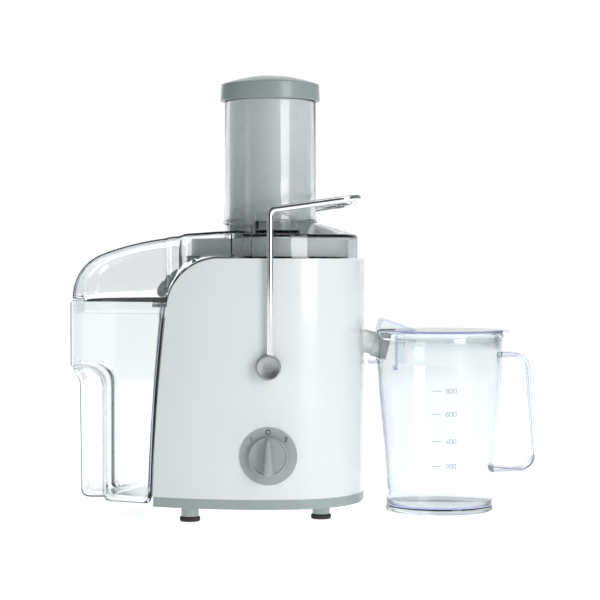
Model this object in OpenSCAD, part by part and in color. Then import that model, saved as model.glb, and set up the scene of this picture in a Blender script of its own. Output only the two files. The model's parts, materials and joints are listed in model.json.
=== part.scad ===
// Centrifugal juicer with a clear lid, a wire bail, a pulp container and a lidded jug.
// Units are millimetres, the table is z = 0 and the front of the machine faces -Y.
// Every module below is one separate piece of the machine.

/* [Body] */
// Wall thickness of the white body shell
shell_wall = 2.6; // [2.2:0.2:3]
// Diameter of the round rubber foot pads
foot_pad_d = 17.6; // [16:0.4:19.2]

/* [Lid and chute] */
// Wall thickness of the clear lid, hood and pulp container
clear_wall = 2.4; // [2:0.2:2.8]
// Outside diameter of the feed chute
chute_d = 82; // [81:0.5:83]
// Wall thickness of the feed chute
chute_wall = 3.4; // [3:0.2:4]
// Diameter of the pusher cap that sits on the chute
cap_d = 89; // [87:0.5:92]

/* [Controls] */
// Diameter of the speed dial
dial_d = 33.3; // [31:0.1:34]
// Diameter of the grey ring around the dial
bezel_d = 49; // [46:0.5:52]
// Diameter of the bail wire
wire_d = 5.8; // [5:0.2:6]

/* [Filter] */
// Number of openings around the filter in each row
mesh_slots = 30; // [20:2:36]
// Number of cutting teeth in each ring of the grating disc
grating_teeth = 12; // [8:1:16]

/* [Jug] */
// Wall thickness of the clear jug
jug_wall = 2.2; // [2:0.1:2.6]
// Width of the strap handle
handle_w = 20; // [16:1:24]

/* [Hidden] */
$fn = 96;

// Heights, from the table up.
pad_top = 4.3;
pan_bottom = 12;
shell_bottom = 20.5;
deck_bottom = 137;
deck_top = 141;
bowl_under = 143;
body_top = 225;
lid_shoulder = 246;
chute_base = 257.5;
chute_top = 365.3;
cap_bottom = 365.7;
cap_crown = 388.8;
dome_h = 8.3;

// Plan of the body: two shallow arcs for front and back, a flatter nose and two round corners.
arc_x = -5;
arc_y = 104;
arc_r = 208;
nose_x = 84.4;
nose_r = 250;
corner_r = 72;
// The small arcs stand out by this much, so that they cross the long arcs cleanly.
stand_out = 0.06;
function cross_pt(a, ra, b, rb) =
    let (d = norm(b - a), t = (ra * ra - rb * rb + d * d) / (2 * d), h = sqrt(ra * ra - t * t), u = (b - a) / d)
    [a.x + t * u.x - h * u.y, a.y + t * u.y + h * u.x];
function unit(v) = v / norm(v);
rear_c = [arc_x, -arc_y];
nose_c = [nose_x - nose_r, 0];
corner_c = cross_pt(nose_c, nose_r - corner_r, rear_c, arc_r - corner_r);
corner_u = unit(corner_c - rear_c);
corner_v = unit(corner_c - nose_c);

// Side slope of the body: a very large arc that ends in a round shoulder.
slope_c = [1699.3, -37];
slope_r = 1800;
shoulder_r = 46;
shoulder_z = body_top - shoulder_r;
shoulder_c = [
    slope_c.x - sqrt(pow(slope_r - shoulder_r, 2) - pow(shoulder_z - slope_c.y, 2)),
    shoulder_z
];
shoulder_u = unit(shoulder_c - slope_c);

// Bowl, filter and lid radii about the drive axis.
bowl_r = 76.8;
bowl_rim_r = 79;
opening_r = 79.6;
lid_r = 78.4;
chute_r = chute_d / 2;
bore_r = chute_r - chute_wall;
tube_r = bore_r - 1.1;

// Juice spout: it leaves the bowl towards the jug and drops a little.
spout_drop = 14;
spout_start = [70, 0, 154.9];

// Hood over the pulp container: a shallow crown and a tight end, both curved across as well.
crest_c = [-30, -35];
crest_r = 292;
crown_r = 379;
end_r = 46.6;
end_c = [-128.25, 190];
end_u = unit(end_c - crest_c);
hood_bottom = 187.6;
skirt_bottom = 177;

// Pulp container plan.
bin_left = -175;
bin_corner = 12;
bin_top = 187;
bin_bottom = 13.6;
bin_n = unit([-37.4, -75]);
bin_line = [-100, -81] * bin_n;

// Feet, screws and pivots.
foot_spots = [[-67.5, -83], [-67.5, 83], [45, -66], [45, 66]];
screw_spots = [[-40, -94.2], [-40, 94.2], [60, -74.4], [60, 74.4]];
front_y = -sqrt(arc_r * arc_r - arc_x * arc_x) + arc_y;
dial_z = 57.5;
pivot_z = 133;
bail_y = 108.5;
wire_r = wire_d / 2;
button_r = 10.75;
button_out = 113.4;

// Bail wire path.
knee_x = 1.5;
knee_z = 261.5;
knee_r = 5.2;
arm_a = 8;
loop_r = 16;
arm_run = 54.7;

// Jug, standing under the spout.
jug_x = 152;
jug_rim = 159;
jug_outer = [
    [48.1, 0], [48.1, 2.6], [47.3, 4], [47.4, 12], [48.3, 32], [50.2, 56],
    [52.8, 82], [55.2, 109], [56, 126], [56.2, 154.4]
];
jug_lid_top = 161.2;
handle_top = [218.55, 127];
handle_foot = [222.3, 50.3];
handle_lean = 4.3;

// The drive axis stands left of the middle, so that the whole set is centred on the frame.
shift_x = -31.65;
shift_y = 5.3;

// ---------------------------------------------------------------- shared shapes

// A ring between two radii and two heights.
module ring(ro, ri, z0, z1) {
    translate([0, 0, z0]) difference() {
        cylinder(r = ro, h = z1 - z0);
        translate([0, 0, -1]) cylinder(r = ri, h = z1 - z0 + 2);
    }
}

// A flat outline drawn in X and Z, made thick along Y about the middle plane.
module along_y(width) {
    rotate([90, 0, 0]) linear_extrude(height = width, center = true) children();
}

// A round bar along Y, from y0 to y1.
module bar_y(x, z, r, y0, y1) {
    translate([x, y1, z]) rotate([90, 0, 0]) cylinder(r = r, h = y1 - y0);
}

// What lies outside the round corner of the body plan.
module corner_waste(inset) {
    difference() {
        polygon([
            corner_c, corner_c + 160 * corner_u,
            corner_c + 220 * unit(corner_u + corner_v), corner_c + 160 * corner_v
        ]);
        translate(corner_c) circle(r = corner_r + stand_out - inset);
    }
}

// Plan of the body, moved inwards by inset.
module body_plan(inset) {
    difference() {
        intersection() {
            translate([arc_x, arc_y]) circle(r = arc_r - inset, $fn = 480);
            translate([arc_x, -arc_y]) circle(r = arc_r - inset, $fn = 480);
            translate(nose_c) circle(r = nose_r - inset, $fn = 480);
            translate([-101, -120]) square([200, 240]);
        }
        corner_waste(inset);
        mirror([0, 1]) corner_waste(inset);
    }
}

// Side outline of the body in X and Z, moved inwards by inset, from z0 up.
module body_side(inset, z0) {
    difference() {
        intersection() {
            translate([-112, z0]) square([230, body_top - inset - z0]);
            translate(slope_c) circle(r = slope_r - inset, $fn = 1440);
        }
        shoulder_waste(inset);
    }
}

// What lies outside the round shoulder, in X and Z.
module shoulder_waste(inset) {
    difference() {
        polygon([
            shoulder_c, shoulder_c + [0, 120],
            shoulder_c + [-120, 120], shoulder_c + 120 * shoulder_u
        ]);
        translate(shoulder_c) circle(r = shoulder_r + stand_out - inset);
    }
}

// The body as a solid block, moved inwards by inset, from z0 up.
module body_block(inset, z0) {
    difference() {
        intersection() {
            translate([0, 0, z0]) linear_extrude(height = body_top - inset - z0) body_plan(inset);
            translate([slope_c.x, 0, slope_c.y]) rotate([90, 0, 0]) {
                cylinder(r = slope_r - inset, h = 300, center = true, $fn = 1440);
            }
        }
        along_y(260) shoulder_waste(inset);
    }
}

// ---------------------------------------------------------------- body and base

// White shell: front, back and right side in one wrap, with the flat top and the round shoulder.
module body_shell() {
    color("white") difference() {
        union() {
            difference() {
                body_block(0, shell_bottom);
                body_block(shell_wall, shell_bottom - 1);
            }
            // Posts that take the base screws.
            for (p = screw_spots) {
                translate([p.x, p.y, shell_bottom]) cylinder(r = 4.5, h = 30);
            }
            // Bosses behind the bail pivots.
            bar_y(0, pivot_z, 9, -102.4, -92);
            bar_y(0, pivot_z, 9, 92, 102.4);
        }
        for (p = screw_spots) {
            translate([p.x, p.y, shell_bottom - 1]) cylinder(r = 1.6, h = 24);
        }
        // Opening for the bowl.
        translate([0, 0, 200]) cylinder(r = opening_r, h = 40);
        // Window for the side panel.
        translate([-112, -77.5, shell_bottom - 1]) cube([50, 155, 156.5]);
        // Notch for the spout, open at the top so that the bowl lifts out.
        translate([60, -14, 138.6]) cube([40, 28, 100]);
        // Holes for the dial ring and the two pivots.
        bar_y(0, dial_z, 12, -110, -90);
        bar_y(0, pivot_z, 5.06, -110, -90);
        bar_y(0, pivot_z, 5.06, 90, 110);
        // Hole for the cord gland.
        bar_y(arc_x, 42, 8.3, 80, 110);
    }
}

// Flat panel that closes the side next to the pulp container.
module side_panel() {
    color("lightgrey") intersection() {
        difference() {
            along_y(154.4) body_side(0.8, 21);
            along_y(160) body_side(3.2, 20);
        }
        translate([-112, -90, 21]) cube([40, 180, 154.6]);
    }
}

// Grey base with its floor, vents, foot sockets and screw bosses.
module base_pan() {
    color("darkgrey") difference() {
        union() {
            difference() {
                intersection() {
                    translate([0, 0, pan_bottom]) linear_extrude(height = 8.4) body_plan(0.5);
                    along_y(260) body_side(0.5, pan_bottom);
                }
                intersection() {
                    translate([0, 0, pan_bottom + 3]) linear_extrude(height = 8.4) body_plan(3.2);
                    along_y(260) body_side(3.2, pan_bottom);
                }
            }
            for (p = screw_spots) {
                translate([p.x, p.y, pan_bottom]) cylinder(r = 5.2, h = 8.3);
            }
            for (p = foot_spots) {
                translate([p.x, p.y, pan_bottom]) cylinder(r = 8.5, h = 6);
            }
        }
        for (p = screw_spots) {
            translate([p.x, p.y, pan_bottom - 1]) cylinder(r = 1.9, h = 12);
            translate([p.x, p.y, pan_bottom - 1]) cylinder(r = 3.6, h = 3.4);
        }
        for (x = [-30 : 10 : 30]) {
            translate([x - 2, -32, pan_bottom - 1]) cube([4, 64, 5]);
        }
    }
}

// Grey stems that carry the foot pads.
module foot_stems() {
    color("grey") for (p = foot_spots) {
        translate([p.x, p.y, pad_top]) cylinder(r = 7.5, h = pan_bottom - pad_top);
    }
}

// Black rubber pads, slightly rounded at the edge.
module foot_pads() {
    color("black") for (p = foot_spots) {
        translate([p.x, p.y, 0]) {
            cylinder(r1 = foot_pad_d / 2 - 0.9, r2 = foot_pad_d / 2, h = 1.1);
            translate([0, 0, 1.1]) cylinder(r = foot_pad_d / 2, h = 2.1);
            translate([0, 0, 3.2]) cylinder(r1 = foot_pad_d / 2, r2 = foot_pad_d / 2 - 0.9, h = 1.1);
        }
    }
}

// Screws that hold the base to the shell.
module base_screws() {
    color("silver") for (p = screw_spots) {
        translate([p.x, p.y, pan_bottom + 0.4]) difference() {
            union() {
                cylinder(r = 3.4, h = 1.9);
                cylinder(r = 1.55, h = 20);
            }
            translate([-2.2, -0.4, -1]) cube([4.4, 0.8, 1.8]);
            translate([-0.4, -2.2, -1]) cube([0.8, 4.4, 1.8]);
        }
    }
}

// Deck inside the shell: the bowl rests on it and the motor hangs under it.
module bowl_seat() {
    color("gainsboro") difference() {
        union() {
            intersection() {
                translate([0, 0, deck_bottom]) linear_extrude(height = deck_top - deck_bottom) body_plan(3);
                along_y(260) body_side(3.6, 100);
            }
            ring(24, 20, deck_bottom - 4, deck_top + 1.2);
        }
        translate([0, 0, deck_bottom - 5]) cylinder(r = 20, h = 20);
        // Room for the pivot bosses.
        bar_y(0, pivot_z, 9.3, -104, -90);
        bar_y(0, pivot_z, 9.3, 90, 104);
        for (a = [45 : 90 : 315]) {
            rotate([0, 0, a]) translate([54, 0, deck_bottom - 1]) cylinder(r = 2.2, h = 6);
        }
    }
}

// ---------------------------------------------------------------- motor, fixed pieces

// Two bridges and four columns that hold both bearings.
module motor_bracket() {
    color("silver") difference() {
        union() {
            translate([0, 0, 124]) intersection() {
                cylinder(r = 62, h = 6);
                translate([-46, -46, 0]) cube([92, 92, 6]);
            }
            ring(15, 8, 118.5, 130);
            translate([-48, -10, 28]) cube([96, 20, 5]);
            translate([-10, -48, 28]) cube([20, 96, 5]);
            ring(15, 8, 26, 36);
            for (a = [0 : 90 : 270]) {
                rotate([0, 0, a]) translate([46, 0, 28]) cylinder(r = 3.6, h = 97);
            }
        }
        translate([0, 0, 118]) cylinder(r = 11.05, h = 8.05);
        translate([0, 0, 110]) cylinder(r = 6, h = 30);
        translate([0, 0, 28.95]) cylinder(r = 11.05, h = 8);
        translate([0, 0, 20]) cylinder(r = 6, h = 30);
        for (a = [45 : 90 : 315]) {
            rotate([0, 0, a]) translate([54, 0, 120]) cylinder(r = 2.2, h = 20);
        }
        for (a = [0 : 45 : 315]) {
            rotate([0, 0, a + 22.5]) translate([32, 0, 120]) cylinder(r = 5, h = 20);
        }
    }
}

// Rubber bushes between the bracket and the deck.
module motor_mounts() {
    color("black") for (a = [45 : 90 : 315]) {
        rotate([0, 0, a]) translate([54, 0, 0]) ring(6.5, 2.2, 130, deck_bottom);
    }
}

// Laminated stator ring with two pole faces.
module stator_core() {
    color("grey") difference() {
        intersection() {
            translate([0, 0, 62]) cylinder(r = 42, h = 36);
            translate([-40, -36, 62]) cube([80, 72, 36]);
        }
        translate([0, 0, 61]) cylinder(r = 25.2, h = 38);
        for (s = [-1, 1]) {
            translate([s * 30 - 5, -20, 61]) cube([10, 40, 38]);
        }
    }
}

// Field coils at both ends of the stator.
module stator_windings() {
    color("peru") {
        ring(34, 26.5, 98, 105);
        ring(34, 26.5, 55, 62);
        for (s = [-1, 1]) {
            translate([s * 30 - 4, -19, 62]) cube([8, 38, 36]);
        }
    }
}

// Shielded ball bearing, seated at height z.
module bearing(z) {
    color("silver") union() {
        ring(11, 8.8, z, z + 7);
        ring(6.6, 4.02, z, z + 7);
        ring(9, 6.4, z + 0.6, z + 6.4);
    }
}

// Bearing above the armature.
module upper_bearing() {
    bearing(119);
}

// Bearing below the commutator.
module lower_bearing() {
    bearing(29);
}

// Insulated boxes that guide the brushes.
module brush_holders() {
    color("saddlebrown") for (s = [0, 180]) {
        rotate([0, 0, s]) difference() {
            translate([15, -6, 40]) cube([22, 12, 12]);
            translate([14, -3.6, 42.4]) cube([21, 7.2, 7.2]);
        }
    }
}

// Carbon blocks on the commutator.
module carbon_brushes() {
    color("dimgrey") for (s = [0, 180]) {
        rotate([0, 0, s]) translate([12.4, -3.4, 42.6]) cube([16, 6.8, 6.8]);
    }
}

// ---------------------------------------------------------------- controls and wiring

// Speed switch behind the dial.
module rotary_switch() {
    color("dimgrey") difference() {
        union() {
            translate([-15, -93, dial_z - 14]) cube([30, 20, 28]);
            bar_y(0, dial_z, 7, -97.8, -92);
            for (x = [-9, 0, 9]) {
                translate([x - 1.5, -73.5, dial_z - 4]) cube([3, 8, 1]);
            }
        }
        bar_y(0, dial_z, 3.06, -110, -80);
    }
}

// Grey ring round the dial, bent to the curved front, with a hub through the shell.
module dial_bezel() {
    color("silver") difference() {
        union() {
            difference() {
                intersection() {
                    bar_y(0, dial_z, bezel_d / 2, -110, -98);
                    translate([arc_x, arc_y, 0]) cylinder(r = arc_r + 1, h = 120, $fn = 480);
                }
                translate([arc_x, arc_y, -1]) cylinder(r = arc_r + 0.05, h = 130, $fn = 480);
            }
            bar_y(0, dial_z, 11.7, -104.4, -98.4);
        }
        bar_y(0, dial_z, 5.2, -112, -90);
    }
}

// Safety switch that the front bail pivot presses.
module interlock_switch() {
    color("black") difference() {
        union() {
            translate([12, -92, 118]) cube([20, 9, 14]);
            translate([13, -92, 132]) rotate([0, 12, 0]) cube([16, 4, 0.8]);
        }
        bar_y(16, 122, 1.5, -100, -70);
        bar_y(28, 122, 1.5, -100, -70);
    }
}

// Terminal block for the mains wires.
module terminal_block() {
    color("ivory") difference() {
        translate([-20, 66, pan_bottom + 3.1]) cube([40, 14, 12]);
        for (x = [-14, -4, 6]) {
            translate([x + 1, 73, pan_bottom + 8]) cylinder(r = 2.4, h = 12);
            bar_y(x + 1, pan_bottom + 10, 1.8, 60, 90);
        }
    }
}

// Gland where the mains cord enters, in the middle of the back.
module cord_gland() {
    color("grey") difference() {
        union() {
            bar_y(arc_x, 42, 8, 96, 111);
            bar_y(arc_x, 42, 10.5, 104.1, 106.7);
            bar_y(arc_x, 42, 10.5, 96, 98.6);
        }
        bar_y(arc_x, 42, 3.6, 80, 120);
    }
}

// ---------------------------------------------------------------- bowl and spout

// Outline of the pulp lip that hangs over the body's shoulder, filled down to the shoulder.
module lip_outline() {
    difference() {
        union() {
            intersection() {
                translate([-60, 180.5]) circle(r = 40.3);
                translate([-110, 183]) square([38.5, 60]);
            }
            polygon([[-72, 200], [-72, 219], [-62, 227.6], [-30, 227.6], [-30, 200]]);
        }
        body_side(-0.6, 150);
    }
}

// Hollow under the lip, in X and Z.
module lip_hollow() {
    intersection() {
        translate([-60, 180.5]) circle(r = 35.6);
        translate([-110, 180]) square([44, 60]);
    }
}

// Bowl that catches the juice, with the spout stub, the notch apron and the pulp lip.
module juice_bowl() {
    color("whitesmoke") difference() {
        union() {
            // Wall, rim, floor and central boss.
            ring(bowl_r, bowl_r - 2.4, bowl_under, 222);
            ring(bowl_rim_r, bowl_r - 2.4, 221, 224.6);
            ring(bowl_r, 15, bowl_under, bowl_under + 3);
            ring(18, 15, bowl_under, 168);
            ring(60, 56, deck_top + 0.2, bowl_under + 0.5);
            // Spout stub.
            translate(spout_start) rotate([0, 90 + spout_drop, 0]) cylinder(r = 10.3, h = 28);
            // Apron that fills the notch in the shell.
            intersection() {
                difference() {
                    linear_extrude(height = 224.6) body_plan(0.1);
                    linear_extrude(height = 240) body_plan(shell_wall);
                }
                translate([60, -13.5, 139.2]) cube([40, 27, 85.4]);
            }
            for (s = [-1, 1]) {
                translate([74, s * 10 - 1, 147]) cube([9.6, 2, 77.6]);
            }
            // Pulp lip and the sill that joins it to the rim.
            difference() {
                along_y(140) lip_outline();
                // The hollow is closed by a cheek set in from each end.
                along_y(128) lip_hollow();
                for (s = [-1, 1]) {
                    translate([0, s * 69, 0]) along_y(6) lip_hollow();
                }
                translate([0, 0, 190]) cylinder(r = bowl_r - 2.4, h = 60);
            }
            intersection() {
                ring(bowl_rim_r, bowl_r - 2.4, 221, 227.6);
                translate([-90, -70, 220]) cube([58, 140, 20]);
            }
        }
        // Bore of the spout, open into the bowl.
        translate(spout_start) rotate([0, 90 + spout_drop, 0]) translate([0, 0, -6]) cylinder(r = 8, h = 60);
        // Clearance for the lid wall beside the pulp opening.
        for (s = [-1, 1]) {
            translate([-90, s > 0 ? 66 : -76, 225]) cube([100, 10, 10]);
        }
    }
}

// Soft seal round the boss.
module bowl_seal() {
    color("dimgrey") ring(14.95, 13.4, 158, 166);
}

// Pale sleeve at the end of the spout.
module spout_nozzle() {
    color("lightgrey") translate(spout_start) rotate([0, 90 + spout_drop, 0]) difference() {
        union() {
            translate([0, 0, 24]) cylinder(r = 11.9, h = 13.4);
            translate([0, 0, 23.2]) cylinder(r1 = 11.2, r2 = 11.9, h = 0.8);
        }
        translate([0, 0, 20]) cylinder(r = 10.35, h = 8.05);
        translate([0, 0, 20]) cylinder(r = 8, h = 30);
    }
}

// ---------------------------------------------------------------- clear lid

// Half disc that turns into a solid with a shallow crown, of radius r at the middle plane.
module crowned_wheel(centre, r) {
    translate([centre.x, 0, centre.y]) rotate([90, 0, 0]) rotate_extrude() intersection() {
        translate([r - crown_r, 0]) circle(r = crown_r);
        translate([0, -88]) square([r + 1, 176]);
    }
}

// Plan of the hood and the container, moved inwards by inset, up to x = right.
module bin_plan(inset, right) {
    cx = bin_left + bin_corner;
    cy = (bin_line - bin_corner - cx * bin_n.x) / bin_n.y;
    r = bin_corner - inset;
    ry = (bin_line - inset - right * bin_n.x) / bin_n.y;
    polygon([
        [bin_left + inset, cy], [cx + r * bin_n.x, cy + r * bin_n.y], [right, ry],
        [right, -ry], [cx + r * bin_n.x, -cy - r * bin_n.y], [bin_left + inset, -cy]
    ]);
    for (s = [-1, 1]) {
        translate([cx, s * cy]) circle(r = r);
    }
}

// Hood and duct as a solid, moved inwards by inset.
module hood_block(inset) {
    intersection() {
        difference() {
            crowned_wheel(crest_c, crest_r - inset);
            difference() {
                along_y(200) polygon([
                    end_c, end_c + 90 * end_u,
                    end_c + [-120, 120], end_c + [-120, 0]
                ]);
                crowned_wheel(end_c, end_r - inset);
            }
        }
        translate([0, 0, hood_bottom - 1]) linear_extrude(height = 80) union() {
            bin_plan(inset, -88);
            translate([-89, -84 + inset]) square([17 - inset, 168 - 2 * inset]);
            translate([-91, -76.2 + inset]) square([68 - inset, 152.4 - 2 * inset]);
        }
    }
}

// Lid, hood, duct, chute and the two lugs for the bail, moulded in one clear piece.
module clear_lid() {
    color("lightcyan") {
        difference() {
            union() {
                translate([0, 0, body_top + 0.3]) cylinder(r = lid_r, h = lid_shoulder - body_top - 0.3);
                translate([0, 0, lid_shoulder]) cylinder(r1 = lid_r, r2 = chute_r, h = chute_base - lid_shoulder);
                hood_block(0);
            }
            translate([0, 0, 150]) cylinder(r = lid_r - clear_wall, h = lid_shoulder - 151);
            translate([0, 0, lid_shoulder - 1.01]) {
                cylinder(r1 = lid_r - clear_wall, r2 = chute_r - 2, h = chute_base - lid_shoulder - 1.6);
            }
            hood_block(clear_wall);
            translate([0, 0, 150]) cylinder(r = chute_r - 1, h = 150);
            // Room for the body's shoulder and the open underside.
            along_y(200) body_side(-0.9, 120);
            translate([-200, -100, 120]) cube([400, 200, hood_bottom - 120]);
            translate([-72, -100, 150]) cube([200, 200, body_top + 0.3 - 150]);
        }
        ring(chute_r, bore_r, 186, chute_top);
        ring(chute_r + 1.2, bore_r + 0.5, chute_base - 1.6, chute_base + 1.4);
        // Skirt that drops into the pulp container.
        difference() {
            translate([0, 0, skirt_bottom]) linear_extrude(height = hood_bottom + 1.6 - skirt_bottom) {
                bin_plan(clear_wall + 0.5, -90.8);
            }
            translate([0, 0, skirt_bottom - 1]) linear_extrude(height = 20) {
                bin_plan(clear_wall + 2.1, -80);
            }
            along_y(200) difference() {
                translate([-98, skirt_bottom - 1]) square([10, 7]);
                translate([-96.8, skirt_bottom + 6]) circle(r = 6);
                translate([-110, skirt_bottom - 1]) square([13.2, 8]);
            }
            along_y(200) body_side(-0.9, 120);
        }
        difference() {
            translate([0, 0, hood_bottom]) linear_extrude(height = 2) bin_plan(0.8, -92);
            translate([0, 0, hood_bottom - 1]) linear_extrude(height = 5) bin_plan(clear_wall + 2.1, -80);
            along_y(200) body_side(-0.9, 120);
        }
        // Lugs that the bail arms pass over.
        for (s = [-1, 1]) {
            scale([1, s, 1]) lug();
        }
    }
}

// One lug: a shelf on the shoulder and a half-moon fin.
module lug() {
    difference() {
        union() {
            translate([-11, 71, lid_shoulder]) cube([38, 33, 3.6]);
            translate([0, 102.6, 0]) along_y(3) lug_outline();
            translate([-11, 60, lid_shoulder]) cube([3, 43, 12]);
        }
        translate([0, 0, 200]) cylinder(r = lid_r - clear_wall - 1, h = lid_shoulder + 0.4 - 200);
        translate([0, 0, lid_shoulder - 1.01]) {
            cylinder(r1 = lid_r - clear_wall, r2 = chute_r - 2, h = chute_base - lid_shoulder - 1.6);
        }
    }
}

// Half-moon outline of the lug in X and Z.
module lug_outline() {
    intersection() {
        translate([-11, lid_shoulder]) square([38, 18.6]);
        translate([3, lid_shoulder - 4]) circle(r = 24.1);
    }
}

// ---------------------------------------------------------------- motor, turning pieces

// Steel shaft of the motor.
module motor_shaft() {
    color("silver") union() {
        translate([0, 0, 26.5]) cylinder(r = 4, h = 130);
        translate([0, 0, 36.4]) cylinder(r = 5.4, h = 4);
        translate([0, 0, 118]) cylinder(r = 5.4, h = 0.8);
    }
}

// Laminated armature with open slots.
module rotor_core() {
    color("grey") difference() {
        translate([0, 0, 62]) cylinder(r = 24.5, h = 36);
        translate([0, 0, 61]) cylinder(r = 4.02, h = 38);
        for (a = [0 : 30 : 330]) {
            rotate([0, 0, a]) translate([14, -1.6, 61]) cube([12, 3.2, 38]);
        }
    }
}

// Copper windings of the armature.
module rotor_windings() {
    color("peru") {
        ring(22, 6, 98, 106);
        ring(22, 6, 55, 62);
        for (a = [0 : 30 : 330]) {
            rotate([0, 0, a]) translate([14.2, -1.4, 61.5]) cube([8.5, 2.8, 37]);
        }
    }
}

// Copper commutator with separated bars.
module commutator() {
    color("goldenrod") difference() {
        translate([0, 0, 40.6]) cylinder(r = 12, h = 13);
        translate([0, 0, 40]) cylinder(r = 4.02, h = 15);
        for (a = [0 : 30 : 330]) {
            rotate([0, 0, a]) translate([9, -0.4, 40]) cube([4, 0.8, 11]);
        }
    }
}

// Fan that draws air over the windings.
module cooling_fan() {
    color("black") difference() {
        union() {
            translate([0, 0, 107]) cylinder(r = 34, h = 1.6);
            translate([0, 0, 107]) cylinder(r = 8, h = 9);
            for (a = [0 : 36 : 324]) {
                rotate([0, 0, a]) translate([7, -0.8, 108]) cube([26, 1.6, 8]);
            }
        }
        translate([0, 0, 100]) cylinder(r = 4.02, h = 30);
    }
}

// Coupling on top of the shaft, with three driving dogs.
module drive_coupling() {
    color("dimgrey") difference() {
        union() {
            translate([0, 0, 146]) cylinder(r = 13.2, h = 18);
            translate([0, 0, 164]) cylinder(r1 = 10.5, r2 = 8.5, h = 8);
            for (a = [0, 120, 240]) {
                rotate([0, 0, a]) translate([8, -1.5, 163]) cube([4, 3, 8]);
            }
        }
        translate([0, 0, 145]) cylinder(r = 4.02, h = 11.6);
        ring(13.3, 12.6, 157, 165);
    }
}

// ---------------------------------------------------------------- filter basket

// Hub, base ring, ribs and rim of the filter.
module filter_frame() {
    color("lightgrey") {
        difference() {
            union() {
                translate([0, 0, 170]) cylinder(r = 16.5, h = 8);
                translate([0, 0, 175.6]) cylinder(r = 47, h = 3);
                ring(47, 42.4, 176, 181.4);
            }
            translate([0, 0, 164]) cylinder(r1 = 12.9, r2 = 12.6, h = 9.2);
            for (a = [60, 180, 300]) {
                rotate([0, 0, a - 14]) translate([12, 0, 169]) cube([3, 3, 4]);
            }
        }
        ring(70.4, 64.6, 227, 236);
        ring(70.4, 68.4, 235.9, 242.5);
        for (a = [0 : 60 : 300]) {
            rotate([0, 0, a]) rotate([90, 0, 0]) linear_extrude(height = 2, center = true) {
                polygon([[44, 179], [46.9, 179], [67.6, 227.4], [65.1, 227.4], [45.3, 181.5]]);
            }
        }
    }
}

// Fine steel strainer cone.
module filter_mesh() {
    color("silver") difference() {
        translate([0, 0, 181.6]) cylinder(r1 = 45, r2 = 64.5, h = 45.2);
        translate([0, 0, 181.5]) cylinder(r1 = 44.3, r2 = 63.9, h = 45.4);
        for (row = [0 : 1]) {
            for (k = [0 : mesh_slots - 1]) {
                rotate([0, 0, (k + row / 2) * 360 / mesh_slots]) {
                    translate([40, -0.9, 186 + 20 * row]) cube([30, 1.8, 14]);
                }
            }
        }
    }
}

// Grating disc with rings of small cutting teeth.
module grating_disc() {
    color("silver") {
        difference() {
            translate([0, 0, 178.8]) cylinder(r = 42, h = 1);
            translate([0, 0, 178]) cylinder(r = 3, h = 3);
        }
        for (r = [14, 22, 30, 37]) {
            for (k = [0 : grating_teeth - 1]) {
                rotate([0, 0, (k + r / 9) * 360 / grating_teeth]) {
                    translate([r, 0, 179.7]) along_y(1.2) polygon([[-1.4, 0], [1.4, 0], [0.9, 1.9]]);
                }
            }
        }
    }
}

// ---------------------------------------------------------------- bail

// One side of the bail, from the pivot to the cross bar. The bends are a hair thinner than the straight parts.
module bail_half() {
    bend_r = wire_r - 0.03;
    // Leg.
    translate([knee_x, -bail_y, pivot_z]) cylinder(r = wire_r, h = knee_z + 0.3 - pivot_z);
    // Knee, arm and loop, all tilted together.
    translate([knee_x + knee_r, -bail_y, knee_z]) rotate([0, -arm_a, 0]) {
        rotate([90, 0, 0]) rotate([0, 0, 90]) rotate_extrude(angle = 90 - arm_a) {
            translate([knee_r, 0]) circle(r = bend_r);
        }
        translate([-0.3, 0, knee_r]) rotate([0, 90, 0]) cylinder(r = wire_r, h = arm_run + 0.6);
        translate([arm_run, loop_r, knee_r]) rotate([0, 0, -90]) rotate_extrude(angle = 90) {
            translate([loop_r, 0]) circle(r = bend_r);
        }
    }
}

// Chromed wire bail that locks the lid.
module bail_wire() {
    color("silver") {
        bail_half();
        mirror([0, 1, 0]) bail_half();
        translate([knee_x + knee_r, 0, knee_z]) rotate([0, -arm_a, 0]) {
            translate([arm_run + loop_r, loop_r - bail_y - 0.3, knee_r]) rotate([-90, 0, 0]) {
                cylinder(r = wire_r, h = 2 * (bail_y - loop_r) + 0.6);
            }
        }
    }
}

// Round pivot buttons, dished at the front, with stubs that turn in the shell.
module pivot_buttons() {
    color("grey") for (s = [-1, 1]) {
        scale([1, s, 1]) difference() {
            union() {
                bar_y(0, pivot_z, button_r, 104.6, button_out - 1.2);
                translate([0, button_out - 1.2, pivot_z]) rotate([-90, 0, 0]) {
                    cylinder(r1 = button_r, r2 = button_r - 1.2, h = 1.2);
                }
                bar_y(0, pivot_z, 5, 90, 105);
            }
            translate([0, button_out + 33.6, pivot_z]) sphere(r = 35);
            translate([knee_x, bail_y, pivot_z - 0.02]) cylinder(r = wire_r + 0.02, h = 20);
        }
    }
}

// ---------------------------------------------------------------- dial

// Speed knob with a tapered grip across the disc.
module dial_knob() {
    color("silver") difference() {
        union() {
            difference() {
                bar_y(0, dial_z, dial_d / 2, -110.8, -105.4);
                // Dished faces on both sides of the grip.
                for (s = [-1, 1]) {
                    translate([s * 9.2, -123.2, dial_z]) sphere(r = 14.4);
                }
            }
            translate([0, -105.6, dial_z]) intersection() {
                rotate([90, 0, 0]) linear_extrude(height = 18.4) polygon([
                    [-1.9, dial_d / 2], [1.9, dial_d / 2], [4.9, -dial_d / 2], [-4.9, -dial_d / 2]
                ]);
                rotate([90, 0, 0]) cylinder(r1 = dial_d / 2 - 0.1, r2 = dial_d / 2 - 1.4, h = 18.4);
            }
        }
        bar_y(0, dial_z, 3.02, -114, -100);
    }
}

// Steel shaft from the knob to the switch.
module dial_shaft() {
    color("silver") bar_y(0, dial_z, 3, -113.4, -81);
}

// ---------------------------------------------------------------- pusher

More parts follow.
